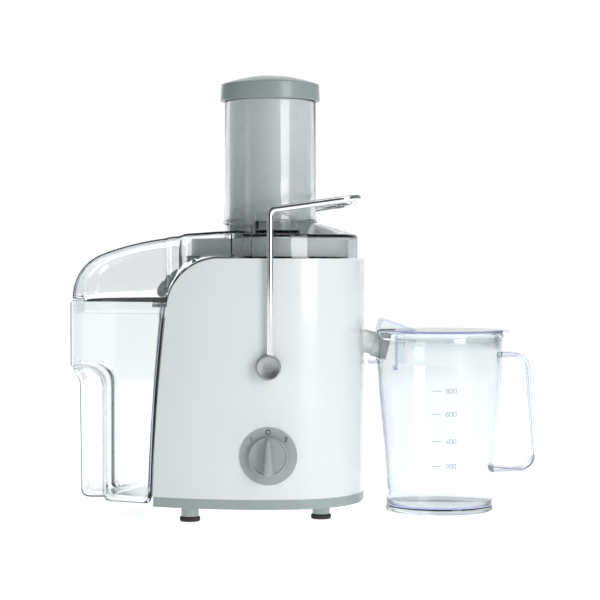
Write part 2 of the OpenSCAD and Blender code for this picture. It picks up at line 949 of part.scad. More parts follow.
// Domed cap that rests on the chute.
module pusher_cap() {
    dome_r = (pow(cap_d / 2 - 0.7, 2) + pow(dome_h, 2)) / (2 * dome_h);
    color("silver") difference() {
        union() {
            translate([0, 0, cap_bottom]) {
                cylinder(r1 = cap_d / 2, r2 = cap_d / 2 - 0.7, h = cap_crown - dome_h - cap_bottom);
            }
            intersection() {
                translate([0, 0, cap_crown - dome_r]) sphere(r = dome_r);
                translate([0, 0, cap_crown - dome_h - 0.2]) cylinder(r = cap_d / 2 - 0.7, h = 20);
            }
        }
        translate([0, 0, cap_bottom - 1]) cylinder(r = tube_r + 0.1, h = 9);
        ring(chute_r - 1.4, tube_r + 2.8, cap_bottom - 1, cap_bottom + 5);
    }
}

// Hollow pusher that slides inside the chute.
module pusher_tube() {
    color("gainsboro") difference() {
        translate([0, 0, 192]) cylinder(r = tube_r, h = cap_bottom + 7.6 - 192);
        translate([0, 0, 195]) cylinder(r = tube_r - 2.2, h = 200);
        for (s = [-1, 1]) {
            translate([s > 0 ? tube_r - 0.9 : -tube_r - 1.1, -2, 180]) cube([2, 4, 180]);
        }
    }
}

// ---------------------------------------------------------------- pulp container

// Side outline of the container in X and Z, moved inwards by inset.
module bin_side(inset, z0, z1) {
    difference() {
        union() {
            polygon([
                [bin_left + inset, z1], [bin_left + inset, 128 + inset / 2],
                [-169 + inset, 116 + inset / 2], [-168 + inset, z0 + 6],
                [-162 + inset, z0], [-60, z0], [-60, z1]
            ]);
            translate([-162 + inset, z0 + 6]) circle(r = 6);
        }
        translate(slope_c) circle(r = slope_r + 1 + inset, $fn = 1440);
        translate([-90, z0 - 1]) square([60, 300]);
    }
}

// Recess under the arch that makes the grip, on both faces.
module grip_recess(grow) {
    for (s = [-1, 1]) {
        scale([1, s, 1]) translate([0, 60, 0]) {
            along_y(60 + 2 * grow - 4) union() {
                translate([-200, -20]) square([55 + grow, 132]);
                translate([-164, 112]) circle(r = 19 + grow);
                translate([-200, 100]) square([36, 31 + grow]);
            }
        }
    }
}

// Clear container for the pulp.
module pulp_container() {
    color("lightcyan") difference() {
        difference() {
            intersection() {
                translate([0, 0, bin_bottom]) linear_extrude(height = bin_top - bin_bottom) bin_plan(0, -84);
                along_y(200) bin_side(0, bin_bottom, bin_top);
            }
            grip_recess(0);
        }
        difference() {
            intersection() {
                translate([0, 0, bin_bottom]) linear_extrude(height = 200) bin_plan(clear_wall, -80);
                along_y(200) bin_side(clear_wall, bin_bottom + clear_wall, bin_top + 10);
            }
            grip_recess(clear_wall);
        }
        // The side next to the body stops below the skirt.
        translate([-104, -76, 174]) cube([40, 152, 40]);
    }
}

// ---------------------------------------------------------------- jug

// Everything inside the jug's outer wall, moved inwards by inset.
module jug_inside(inset, z0) {
    rotate_extrude() polygon(concat(
        [[0, z0]], [[jug_outer[3].x - inset, z0]],
        [for (k = [4 : len(jug_outer) - 1]) [jug_outer[k].x - inset, jug_outer[k].y]],
        [[56.2 - inset, 200], [0, 200]]
    ));
}

// Clear jug with its rim, pouring notch and measuring lines.
module jug() {
    color("lightcyan") translate([jug_x, 0, 0]) difference() {
        union() {
            difference() {
                rotate_extrude() polygon(concat([[0, 0]], jug_outer, [[57.4, 155.6], [57.4, jug_rim], [0, jug_rim]]));
                jug_inside(jug_wall, 6);
            }
            // Pouring lip under the spout.
            difference() {
                translate([-64.6, -13.6, 130.4]) cube([14, 27.2, 2.8]);
                translate([-70, -12, 131.8]) cube([17, 24, 9]);
            }
            // Measuring lines on the front wall.
            for (z = [43, 65, 89, 109.5]) {
                intersection() {
                    translate([-10, -60, z]) cube([8, 20, 0.8]);
                    difference() {
                        translate([0, 0, 0.1]) jug_inside(-0.25, 6);
                        jug_inside(0.4, 5);
                    }
                }
            }
        }
        // Hollow under the foot ring.
        translate([0, 0, -1]) cylinder(r1 = 45.4, r2 = 44.2, h = 3.6);
        // Notch for the spout.
        translate([-80, -13.4, 133.2]) cube([40, 26.8, 60]);
    }
}

// Points along an arc in steps, from angle a0 to angle a1.
function arc_points(c, r, a0, a1) = [for (i = [0 : 12]) let (a = a0 + (a1 - a0) * i / 12) c + r * [cos(a), sin(a)]];

// Strap handle of the jug: a loop with round corners that stands out a little more at the foot.
module jug_handle() {
    color("lightcyan") difference() {
        along_y(handle_w) polygon(concat(
            [[190, 141]],
            arc_points(handle_top, 14, 90, handle_lean),
            arc_points(handle_foot, 16, handle_lean, -90),
            [[190, 34.3], [190, 38.3]],
            arc_points(handle_foot, 12, -90, handle_lean),
            arc_points(handle_top, 10, handle_lean, 90),
            [[190, 137]]
        ));
        translate([jug_x, 0, 0]) jug_inside(-0.05, 6);
        translate([jug_x, 0, 100]) cylinder(r = 56.26, h = 60);
    }
}

// Clear lid of the jug with the peak over the spout and a thumb tab.
module jug_lid() {
    color("lightcyan") translate([jug_x, 0, 0]) difference() {
        union() {
            translate([0, 0, jug_rim + 0.2]) cylinder(r = 57.2, h = jug_lid_top - jug_rim - 0.2);
            // Skirt inside the jug, left out beside the spout.
            difference() {
                ring(53.4, 51.6, 144.6, jug_rim + 0.3);
                translate([-80, -60, 140]) cube([50, 120, 30]);
            }
            translate([55, -9, jug_rim + 0.2]) cube([7.4, 18, 1.8]);
            // Peak over the spout.
            difference() {
                along_y(31) peak_outline(0);
                along_y(27.4) peak_outline(1.8);
            }
        }
        // Opening under the peak.
        translate([-70, -13.7, 150]) cube([30, 27.4, 11.4]);
        translate([-50, -13.7, 150]) cube([24, 27.4, 11.6]);
        translate([-80, -13.7, 140]) cube([40, 27.4, 20]);
    }
}

// Side outline of the peak, in X and Z from the jug's axis.
module peak_outline(inset) {
    polygon([
        [-57 + inset * 1.1, 160 - inset], [-54.2 + inset, 170.6 - inset * 1.2],
        [-52.4 + inset, 172 - inset * 1.2], [-50 + inset * 0.6, 171.6 - inset * 1.1],
        [-20 - inset * 3, 161], [-20 - inset * 3, 160 - inset]
    ]);
}

// Plate under the jug's lid that holds back the froth.
module froth_separator() {
    color("lightcyan") {
        translate([112, -24, 126.2]) cube([1.8, 48, 33]);
        translate([110.2, -24, 126.2]) cube([2, 48, 1.8]);
        for (s = [-1, 1]) {
            translate([113.7, s * 14 - 0.8, 132]) cube([7, 1.6, 27.2]);
        }
    }
}

// ---------------------------------------------------------------- assembly

// Puts a piece into the shared frame.
module placed() {
    translate([shift_x, shift_y, 0]) children();
}

placed() body_shell();
placed() side_panel();
placed() base_pan();
placed() foot_stems();
placed() foot_pads();
placed() base_screws();
placed() bowl_seat();
placed() motor_bracket();
placed() motor_mounts();
placed() stator_core();
placed() stator_windings();
placed() upper_bearing();
placed() lower_bearing();
placed() brush_holders();
placed() carbon_brushes();
placed() rotary_switch();
placed() dial_bezel();
placed() interlock_switch();
placed() terminal_block();
placed() cord_gland();
placed() juice_bowl();
placed() bowl_seal();
placed() spout_nozzle();
placed() clear_lid();
placed() motor_shaft();
placed() rotor_core();
placed() rotor_windings();
placed() commutator();
placed() cooling_fan();
placed() drive_coupling();
placed() filter_frame();
placed() filter_mesh();
placed() grating_disc();
placed() bail_wire();
placed() pivot_buttons();
placed() dial_knob();
placed() dial_shaft();
placed() pusher_cap();
placed() pusher_tube();
placed() pulp_container();
placed() jug();
placed() jug_handle();
placed() jug_lid();
placed() froth_separator();
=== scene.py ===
import json
import math
import bpy
import bmesh
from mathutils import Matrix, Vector


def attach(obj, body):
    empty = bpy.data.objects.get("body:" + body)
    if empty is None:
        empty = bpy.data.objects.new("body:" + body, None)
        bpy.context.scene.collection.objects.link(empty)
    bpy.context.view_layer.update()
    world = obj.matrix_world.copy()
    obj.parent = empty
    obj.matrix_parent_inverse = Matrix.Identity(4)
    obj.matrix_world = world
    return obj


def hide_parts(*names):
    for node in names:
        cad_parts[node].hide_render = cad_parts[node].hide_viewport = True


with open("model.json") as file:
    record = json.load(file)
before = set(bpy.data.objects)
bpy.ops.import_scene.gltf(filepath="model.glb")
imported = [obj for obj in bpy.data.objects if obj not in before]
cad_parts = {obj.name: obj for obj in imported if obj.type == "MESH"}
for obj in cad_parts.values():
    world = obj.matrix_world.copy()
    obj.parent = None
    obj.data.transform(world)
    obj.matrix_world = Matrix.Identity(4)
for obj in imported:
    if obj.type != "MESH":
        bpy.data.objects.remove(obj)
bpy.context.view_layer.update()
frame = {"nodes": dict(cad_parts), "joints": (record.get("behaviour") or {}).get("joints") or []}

# ---------------------------------------------------------------- frame helpers
# Shapes below are written in millimetres about the drive axis, then moved into the shared frame.
AXIS = next(j["pos_m"] for j in frame["joints"] if j["name"] == "motor_spin")
OX, OY = AXIS[0], AXIS[1]


def place(x, y, z):
    return (x / 1000.0 + OX, y / 1000.0 + OY, z / 1000.0)


def lerp(a, b, t):
    return a + (b - a) * t


def smooth(t):
    t = max(0.0, min(1.0, t))
    return t * t * (3 - 2 * t)


def mesh_piece(name, verts, faces, material, body, sharp=32, mm=True, recalc=True):
    me = bpy.data.meshes.new(name)
    me.from_pydata([place(*v) for v in verts] if mm else verts, [], faces)
    bm = bmesh.new()
    bm.from_mesh(me)
    bmesh.ops.remove_doubles(bm, verts=bm.verts, dist=0.000004)
    bmesh.ops.dissolve_degenerate(bm, dist=0.000002, edges=bm.edges)
    if recalc:
        bmesh.ops.recalc_face_normals(bm, faces=bm.faces)
    bm.to_mesh(me)
    bm.free()
    me.polygons.foreach_set("use_smooth", [True] * len(me.polygons))
    me.set_sharp_from_angle(angle=math.radians(sharp))
    me.materials.append(material)
    ob = bpy.data.objects.new(name, me)
    bpy.context.scene.collection.objects.link(ob)
    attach(ob, body)
    return ob


def grid(rings, loop_points=True, loop_rings=False, cap_first=False, cap_last=False):
    n = len(rings[0])
    verts = [p for r in rings for p in r]
    faces = []
    rows = len(rings) if loop_rings else len(rings) - 1
    cols = n if loop_points else n - 1
    for i in range(rows):
        a, b = i * n, ((i + 1) % len(rings)) * n
        for j in range(cols):
            k = (j + 1) % n
            faces.append((a + j, a + k, b + k, b + j))
    if cap_first:
        faces.append(tuple(range(n)))
    if cap_last:
        faces.append(tuple(range((len(rings) - 1) * n, len(rings) * n)))
    return verts, faces


def fillet(points, radii, steps=6, closed=False):
    """Rounds the corners of a flat polyline."""
    out = []
    n = len(points)
    for i, p in enumerate(points):
        r = radii[i] if isinstance(radii, (list, tuple)) else radii
        if (not closed and i in (0, n - 1)) or r <= 0:
            out.append(tuple(p))
            continue
        p = Vector(p)
        a, b = Vector(points[i - 1]), Vector(points[(i + 1) % n])
        u, v = (a - p), (b - p)
        lu, lv = u.length, v.length
        if lu < 1e-6 or lv < 1e-6:
            out += [tuple(p)] * (steps + 1)
            continue
        u.normalize()
        v.normalize()
        angle = math.acos(max(-1, min(1, u.dot(v))))
        if angle > math.pi - 0.01:
            out += [tuple(p)] * (steps + 1)
            continue
        reach = min(r / math.tan(angle / 2), lu * 0.49, lv * 0.49)
        real = reach * math.tan(angle / 2)
        centre = p + (u + v).normalized() * (real / math.sin(angle / 2))
        s, e = p + u * reach - centre, p + v * reach - centre
        total = s.angle_signed(e) if s.length > 1e-9 else 0
        for k in range(steps + 1):
            t = -total * k / steps
            c, d = math.cos(t), math.sin(t)
            out.append(tuple(centre + Vector((s.x * c - s.y * d, s.x * d + s.y * c))))
    return out


def lathe(name, profile, material, body, at=(0, 0), seg=112, a0=0.0, a1=360.0, closed=True, sharp=32,
          turn=None):
    """Turns an (r, z) outline about an upright axis; turn moves each point afterwards."""
    full = abs(a1 - a0 - 360.0) < 1e-6
    count = seg if full else seg + 1
    rings = []
    for k in range(count):
        a = math.radians(lerp(a0, a1, k / seg))
        ring = [(at[0] + r * math.cos(a), at[1] + r * math.sin(a), z) for r, z in profile]
        rings.append([turn(p) for p in ring] if turn else ring)
    capped = closed and not full
    v, f = grid(rings, loop_points=closed, loop_rings=full, cap_first=capped, cap_last=capped)
    return mesh_piece(name, v, f, material, body, sharp)


def lathe_y(name, profile, material, body, x, z, side=-1, seg=96, sharp=32):
    """Turns an (r, depth) outline about a line along Y; side -1 faces the front."""
    rings = []
    for k in range(seg):
        a = math.tau * k / seg
        rings.append([(x + r * math.cos(a), side * d, z + r * math.sin(a)) for r, d in profile])
    v, f = grid(rings, loop_points=True, loop_rings=True)
    return mesh_piece(name, v, f, material, body, sharp)


def strokes(name, lines, material, body, thick, around=3):
    """Round wires along the given lines, swept as a curve and kept as one mesh."""
    cu = bpy.data.curves.new(name + "_path", "CURVE")
    cu.dimensions = "3D"
    cu.bevel_depth = thick / 1000.0
    cu.bevel_resolution = around
    cu.use_fill_caps = True
    for pts, loop in lines:
        sp = cu.splines.new("POLY")
        sp.points.add(len(pts) - 1)
        for q, p in zip(sp.points, pts):
            q.co = (*place(*p), 1.0)
        sp.use_cyclic_u = loop
    path = bpy.data.objects.new(name + "_path", cu)
    bpy.context.scene.collection.objects.link(path)
    swept = path.evaluated_get(bpy.context.evaluated_depsgraph_get())
    me = bpy.data.meshes.new_from_object(swept)
    me.name = name
    bpy.data.objects.remove(path)
    bpy.data.curves.remove(cu)
    me.polygons.foreach_set("use_smooth", [True] * len(me.polygons))
    me.set_sharp_from_angle(angle=math.radians(50))
    me.materials.clear()
    me.materials.append(material)
    ob = bpy.data.objects.new(name, me)
    bpy.context.scene.collection.objects.link(ob)
    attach(ob, body)
    return ob


# ---------------------------------------------------------------- materials

def new_material(name):
    m = bpy.data.materials.new(name)
    m.use_nodes = True
    nt = m.node_tree
    return m, nt, nt.nodes["Principled BSDF"]


def noise(nt, scale, detail=3.0, stretch=None, rough=0.55):
    tc = nt.nodes.new("ShaderNodeTexCoord")
    source = tc.outputs["Object"]
    if stretch:
        mp = nt.nodes.new("ShaderNodeMapping")
        mp.inputs["Scale"].default_value = stretch
        nt.links.new(source, mp.inputs["Vector"])
        source = mp.outputs["Vector"]
    n = nt.nodes.new("ShaderNodeTexNoise")
    n.inputs["Scale"].default_value = scale
    n.inputs["Detail"].default_value = detail
    n.inputs["Roughness"].default_value = rough
    nt.links.new(source, n.inputs["Vector"])
    return n.outputs["Fac"]


def spread(nt, fac, lo, hi):
    r = nt.nodes.new("ShaderNodeMapRange")
    r.inputs["From Min"].default_value = 0.3
    r.inputs["From Max"].default_value = 0.7
    r.inputs["To Min"].default_value = lo
    r.inputs["To Max"].default_value = hi
    nt.links.new(fac, r.inputs["Value"])
    return r.outputs["Result"]


def tone(nt, fac, a, b):
    r = nt.nodes.new("ShaderNodeValToRGB")
    r.color_ramp.elements[0].position = 0.3
    r.color_ramp.elements[1].position = 0.7
    r.color_ramp.elements[0].color = (*a, 1)
    r.color_ramp.elements[1].color = (*b, 1)
    nt.links.new(fac, r.inputs["Fac"])
    return r.outputs["Color"]


def bump(nt, bsdf, fac, strength, distance):
    b = nt.nodes.new("ShaderNodeBump")
    b.inputs["Strength"].default_value = strength
    b.inputs["Distance"].default_value = distance
    nt.links.new(fac, b.inputs["Height"])
    nt.links.new(b.outputs["Normal"], bsdf.inputs["Normal"])


def shade(c, k):
    return tuple(max(0.0, min(1.0, v * k)) for v in c)


def plastic(name, color, rough, gloss=0.0, grain=0.05, vary=0.03, scale=900):
    m, nt, b = new_material(name)
    wide = noise(nt, 14, 4)
    nt.links.new(tone(nt, wide, shade(color, 1 - vary), shade(color, 1 + vary)), b.inputs["Base Color"])
    nt.links.new(spread(nt, noise(nt, 60, 5), rough * 0.88, rough * 1.16), b.inputs["Roughness"])
    b.inputs["IOR"].default_value = 1.5
    b.inputs["Coat Weight"].default_value = gloss
    b.inputs["Coat Roughness"].default_value = 0.06
    bump(nt, b, noise(nt, scale, 3), grain, 0.0002)
    return m


def metal(name, color, rough, stretch=None, scale=300, grain=0.04, dark=0.85):
    m, nt, b = new_material(name)
    b.inputs["Metallic"].default_value = 1.0
    f = noise(nt, scale, 5, stretch)
    nt.links.new(tone(nt, f, shade(color, dark), shade(color, 1.04)), b.inputs["Base Color"])
    nt.links.new(spread(nt, noise(nt, scale * 0.4, 4, stretch), rough * 0.8, rough * 1.3), b.inputs["Roughness"])
    bump(nt, b, f, grain, 0.0001)
    return m


def clear(name, color, edge_on_shade, edge, density, rough=0.03, ior=1.46):
    """Clear plastic: slightly wavy, with painted shade that darkens its colour where it is seen edge-on, and
    tinted in its thickness.
    """
    m, nt, b = new_material(name)
    # Painted shade: the base colour turns to a darker shade colour where the surface is seen edge-on.
    lw = nt.nodes.new("ShaderNodeLayerWeight")
    lw.inputs["Blend"].default_value = 0.5
    ramp = nt.nodes.new("ShaderNodeValToRGB")
    ramp.color_ramp.elements[0].position = 0.62
    ramp.color_ramp.elements[0].color = (*color, 1)
    ramp.color_ramp.elements[1].position = 0.99
    ramp.color_ramp.elements[1].color = (*edge_on_shade, 1)
    nt.links.new(lw.outputs["Facing"], ramp.inputs["Fac"])
    nt.links.new(ramp.outputs["Color"], b.inputs["Base Color"])
    nt.links.new(spread(nt, noise(nt, 45, 5), rough * 0.5, rough * 1.7), b.inputs["Roughness"])
    b.inputs["Transmission Weight"].default_value = 1.0
    b.inputs["IOR"].default_value = ior
    bump(nt, b, noise(nt, 22, 2), 0.03, 0.0006)
    vol = nt.nodes.new("ShaderNodeVolumeAbsorption")
    vol.inputs["Color"].default_value = (*edge, 1)
    vol.inputs["Density"].default_value = density
    nt.links.new(vol.outputs["Volume"], nt.nodes["Material Output"].inputs["Volume"])
    return m


def two_tone(name, left, right, rough, at):
    """One moulding that is grey over the pulp chute and pale towards the spout."""
    m, nt, b = new_material(name)
    tc = nt.nodes.new("ShaderNodeTexCoord")
    sep = nt.nodes.new("ShaderNodeSeparateXYZ")
    nt.links.new(tc.outputs["Object"], sep.inputs[0])
    mr = nt.nodes.new("ShaderNodeMapRange")
    mr.inputs["From Min"].default_value = at - 0.004
    mr.inputs["From Max"].default_value = at + 0.004
    nt.links.new(sep.outputs["X"], mr.inputs["Value"])
    nt.links.new(tone_between(nt, mr.outputs["Result"], left, right), b.inputs["Base Color"])
    nt.links.new(spread(nt, noise(nt, 60, 5), rough * 0.88, rough * 1.16), b.inputs["Roughness"])
    b.inputs["Coat Weight"].default_value = 0.2
    bump(nt, b, noise(nt, 900, 3), 0.02, 0.0002)
    return m


def tone_between(nt, fac, a, b):
    r = nt.nodes.new("ShaderNodeValToRGB")
    r.color_ramp.elements[0].color = (*a, 1)
    r.color_ramp.elements[1].color = (*b, 1)
    nt.links.new(fac, r.inputs["Fac"])
    return r.outputs["Color"]


WHITE = plastic("white_gloss", (0.72, 0.755, 0.75), 0.22, gloss=0.5, grain=0.015, vary=0.012)
GREY = plastic("mid_grey_satin", (0.36, 0.395, 0.39), 0.38, gloss=0.1, grain=0.05)
GREY_SIDE = plastic("side_grey_satin", (0.50, 0.53, 0.53), 0.42, grain=0.07)
BAND = plastic("base_band_grey", (0.31, 0.37, 0.365), 0.36, gloss=0.15, grain=0.04)
DIALG = plastic("dial_silver_grey", (0.34, 0.375, 0.378), 0.34, gloss=0.2, grain=0.03)
BEZEL = plastic("bezel_grey", (0.34, 0.375, 0.38), 0.4, grain=0.05)
BOWL = two_tone("bowl_two_tone", (0.27, 0.315, 0.31), (0.78, 0.82, 0.81), 0.3, OX + 0.052)
BASKET = plastic("basket_white", (0.84, 0.87, 0.865), 0.35, grain=0.04)
SPOUT = plastic("spout_pale", (0.80, 0.83, 0.83), 0.25, gloss=0.3, grain=0.02)
TUBE = plastic("pusher_silver", (0.86, 0.885, 0.88), 0.3, gloss=0.4, grain=0.02)
CAP = plastic("cap_grey", (0.25, 0.30, 0.30), 0.34, gloss=0.15, grain=0.04)
MARK = plastic("mark_dark", (0.10, 0.11, 0.12), 0.5, grain=0.03)
MARKB = plastic("mark_pale", (0.38, 0.42, 0.44), 0.5, grain=0.03)
BLACK = plastic("black_moulding", (0.025, 0.025, 0.028), 0.45, grain=0.1)
RUBBER = plastic("black_rubber", (0.014, 0.014, 0.014), 0.6, grain=0.18, vary=0.2, scale=1600)
SILIC = plastic("grey_silicone", (0.22, 0.22, 0.24), 0.6, grain=0.1)
NYLON = plastic("natural_nylon", (0.62, 0.65, 0.65), 0.4, grain=0.05)
IVORY = plastic("ivory_nylon", (0.75, 0.72, 0.62), 0.45, grain=0.05)
PHENOL = plastic("brown_phenolic", (0.12, 0.06, 0.03), 0.4, grain=0.06)
CARBON = plastic("carbon_block", (0.03, 0.03, 0.032), 0.55, grain=0.2, vary=0.2)
BUTTON = metal("button_paint", (0.36, 0.38, 0.385), 0.36, scale=700, grain=0.05, dark=0.9)
CHROME = metal("bright_chrome", (0.80, 0.81, 0.82), 0.07, scale=120, grain=0.008, dark=0.95)
STEEL = metal("ground_steel", (0.62, 0.63, 0.65), 0.25, stretch=(1, 1, 12), scale=260, grain=0.05)
LAMIN = metal("laminated_steel", (0.30, 0.31, 0.33), 0.42, stretch=(0.05, 0.05, 30), scale=60, grain=0.25)
COPPER = metal("enamelled_copper", (0.62, 0.27, 0.12), 0.33, stretch=(0.2, 0.2, 24), scale=70, grain=0.5)
ALU = metal("cast_aluminium", (0.55, 0.56, 0.58), 0.45, scale=420, grain=0.2)
# The second colour of each clear material is painted shade for its edge-on rims.
CLEAR = clear("clear_moulding", (0.925, 0.95, 0.95), (0.40, 0.48, 0.52), (0.42, 0.50, 0.78), 16, 0.025)
CLEAR_BIN = clear("clear_bin_moulding", (0.95, 0.966, 0.964), (0.42, 0.50, 0.53), (0.64, 0.72, 0.88), 8, 0.025)
CLEAR_LID = clear("clear_lid_moulding", (0.965, 0.98, 0.98), (0.40, 0.46, 0.50), (0.42, 0.48, 0.72), 14, 0.03)

CAD_LOOK = {
    "body_shell": WHITE, "side_panel": GREY_SIDE, "base_pan": BAND, "foot_stems": GREY, "foot_pads": RUBBER,
    "base_screws": STEEL, "bowl_seat": NYLON, "motor_bracket": ALU, "motor_mounts": RUBBER, "stator_core": LAMIN,
    "stator_windings": COPPER, "upper_bearing": STEEL, "lower_bearing": STEEL, "brush_holders": PHENOL,
    "carbon_brushes": CARBON, "rotary_switch": BLACK, "dial_bezel": BEZEL, "interlock_switch": BLACK,
    "terminal_block": IVORY, "cord_gland": GREY, "juice_bowl": BOWL, "bowl_seal": SILIC, "spout_nozzle": SPOUT,
    "clear_lid": CLEAR_LID, "motor_shaft": STEEL, "rotor_core": LAMIN, "rotor_windings": COPPER,
    "commutator": COPPER, "cooling_fan": BLACK, "drive_coupling": BLACK, "filter_frame": BASKET,
    "filter_mesh": STEEL, "grating_disc": STEEL, "bail_wire": CHROME, "pivot_buttons": BUTTON,
    "dial_knob": DIALG, "dial_shaft": STEEL, "pusher_cap": CAP, "pusher_tube": TUBE, "pulp_container": CLEAR_BIN,
    "jug": CLEAR, "jug_handle": CLEAR, "jug_lid": CLEAR, "froth_separator": CLEAR,
}
SOFT_EDGE = {
    "body_shell": 2.4, "base_pan": 1.2, "side_panel": 0.8, "juice_bowl": 0.5, "dial_bezel": 0.3,
    "dial_knob": 0.5, "spout_nozzle": 0.5, "cord_gland": 0.6, "jug_lid": 0.35, "froth_separator": 0.3,
    "foot_stems": 0.4, "motor_bracket": 0.5, "bowl_seat": 0.5,
}
for name, ob in frame["nodes"].items():
    ob.data.materials.clear()
    ob.data.materials.append(CAD_LOOK[name])
    weld = ob.modifiers.new("weld", "WELD")
    weld.merge_threshold = 0.00001
    if name in SOFT_EDGE:
        bv = ob.modifiers.new("soft_edge", "BEVEL")
        bv.width = SOFT_EDGE[name] / 1000.0
        bv.segments = 3
        bv.limit_method = "ANGLE"
        bv.angle_limit = math.radians(50)
        bv.harden_normals = False
    wn = ob.modifiers.new("normals", "WEIGHTED_NORMAL")
    wn.keep_sharp = True

# ---------------------------------------------------------------- hood, duct and lid
CHUTE_OUT, CHUTE_IN, CHUTE_TOP = 41.0, 37.6, 365.3
CHUTE_MID = 39.4
HOOD_WALL = 0.0024
CREST, CREST_R = (-30.0, -35.0), 292.0
ENDC, END_R = (-128.7, 190.0), 46.3
LID_R, SHOULDER_Z, LID_BASE = 78.4, 246.0, 225.3
HOOD_BASE = 187.6


def bin_half(x):
    """Half width of the container and hood at x."""
    return max(8.0, 81.0 + 0.4987 * (x + 100.0))


def hood_half(x):
    if x < -88:
        return bin_half(x)
    w = lerp(bin_half(-88), 84.0, smooth((x + 88) / 6))
    w = lerp(w, 75.6, smooth((x + 75.5) / 4.5))
    if x > -30:
        w = min(w, math.sqrt(max(0.0, 77.9 ** 2 - x * x)))
    return w


def shoulder_line(x):
    """Height of the body's shoulder at x."""
    cx, cz, r = -41.35, 179.0, 46.9
    if x >= cx:
        return LID_BASE
    if x <= cx - r:
        return HOOD_BASE
    return min(LID_BASE, max(HOOD_BASE, cz + math.sqrt(r * r - (x - cx) ** 2)))


def hood_ring(centre, reach, a, crown, edge, count=40):
    """One section of the hood: a crowned top across the width, a rounded edge and two upright walls."""
    c, q = math.cos(a), math.sin(a)
    w = 75.0
    for _ in range(12):
        w = hood_half(centre[0] + (reach - crown * (w / 75.0) ** 2 - edge) * c)
    top = []
    for k in range(count + 1):
        # More points towards the rounded edges.
        y = w * math.sin(math.pi / 2 * (2 * k / count - 1))
        over = max(0.0, abs(y) - (w - edge))
        drop = edge - math.sqrt(max(0.0, edge * edge - over * over))
        rad = reach - crown * (y / 75.0) ** 2 - drop
        top.append((centre[0] + rad * c, y, centre[1] + rad * q))
    xe, ze = top[0][0], top[0][2]
    base = min(shoulder_line(xe), ze - 0.05)
    left = [(xe, -w, lerp(base, ze, t / 4)) for t in range(4)]
    right = [(xe, w, lerp(ze, base, t / 4)) for t in range(1, 5)]
    return left + top + right


rings = []
u = Vector((ENDC[0] - CREST[0], ENDC[1] - CREST[1])).normalized()
a_end = math.atan2(u.y, u.x)
for k in range(25):
    t = k / 24
    rings.append(hood_ring(ENDC, END_R, lerp(math.pi, a_end, t), 7.5, lerp(11.0, 6.0, smooth(t * 1.3))))
a_stop = math.acos((-14.0 - CREST[0]) / CREST_R)
for k in range(1, 71):
    a = lerp(a_end, a_stop, k / 70)
    far = smooth((CREST[0] + CREST_R * math.cos(a) + 95) / 40)
    rings.append(hood_ring(CREST, CREST_R - 0.2 * far, a, lerp(7.5, 9.0, far), lerp(6.0, 3.2, far)))
v, f = grid(rings, loop_points=False)
# The hood ends inside the chute's wall, so nothing of it reaches the bore.
inside = [math.hypot(x, y) < CHUTE_MID for x, y, z in v]
v = [(x * CHUTE_MID / math.hypot(x, y), y * CHUTE_MID / math.hypot(x, y), z) if cut else (x, y, z)
     for (x, y, z), cut in zip(v, inside)]
f = [face for face in f if not all(inside[i] for i in face)]
hood = mesh_piece("pulp_hood", v, f, CLEAR_LID, "base", sharp=50)
sol = hood.modifiers.new("wall", "SOLIDIFY")
sol.thickness = HOOD_WALL
sol.offset = -1
sol.use_even_offset = False
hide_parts("clear_lid")

# Wall and cone of the lid, open towards the duct.
prof = fillet([
    (LID_R, LID_BASE), (LID_R, SHOULDER_Z), (43.0, 257.0), (41.2, 257.6),
    (40.2, 255.6), (LID_R - 3.2, SHOULDER_Z - 2.6), (LID_R - 2.4, LID_BASE)
], [0, 2.4, 1.5, 0.2, 1.0, 1.6, 0], 5, closed=True)
lid_wall = lathe("lid_wall", prof, CLEAR_LID, "base", seg=120, a0=-106.5, a1=106.5)

# Feed chute with a bead at its foot and a rolled top edge.
prof = fillet([
    (CHUTE_OUT, 186.0), (CHUTE_OUT, 254.6), (42.4, 256.2), (42.4, 258.2), (CHUTE_OUT, 259.6),
    (CHUTE_OUT, CHUTE_TOP), (CHUTE_IN, CHUTE_TOP), (CHUTE_IN, 186.0)
], [1.2, 1.0, 0.8, 0.8, 1.0, 1.2, 1.2, 1.2], 4, closed=True)
chute = lathe("feed_chute", prof, CLEAR_LID, "base", seg=144)


def extrude_y(name, outline, y0, y1, material, body, width=0.6, sharp=32):
    n = len(outline)
    v = [(x, y0, z) for x, z in outline] + [(x, y1, z) for x, z in outline]
    f = [(i, (i + 1) % n, n + (i + 1) % n, n + i) for i in range(n)]
    f += [tuple(range(n)), tuple(range(n, 2 * n))]
    ob = mesh_piece(name, v, f, material, body, sharp)
    if width:
        bv = ob.modifiers.new("round", "BEVEL")
        bv.width = width / 1000.0
        bv.segments = 3
        bv.limit_method = "ANGLE"
        bv.angle_limit = math.radians(40)
    return ob


# Lugs: a half-moon fin on a small shelf, front and back.
for s, tag in ((-1, "front"), (1, "rear")):
    turns = [math.radians(a) for a in range(10, 126, 5)]
    arc = [(3 + 24.1 * math.cos(a), 242 + 24.1 * math.sin(a)) for a in turns]
    arc = [(max(-11.0, min(27.0, x)), min(264.6, z)) for x, z in arc]
    out = [(-11.0, 246.0), (27.0, 246.0)] + [p for p in arc if p[1] > 246.2] + [(-11.0, 260.0)]
    fin = extrude_y("lug_fin_" + tag, out, s * 101.2, s * 104.1, CLEAR_LID, "base", 0.8)
    shelf = extrude_y("lug_shelf_" + tag, [(-10.9, 246.0), (26.9, 246.0), (26.9, 249.4), (-10.9, 249.4)],
                      s * 74.0, s * 101.2, CLEAR_LID, "base", 0.6)
    web = extrude_y("lug_web_" + tag, [(-10.9, 249.3), (-8.3, 249.3), (-8.3, 257.0), (-10.9, 257.0)],
                    s * 66.0, s * 101.2, CLEAR_LID, "base", 0.5)


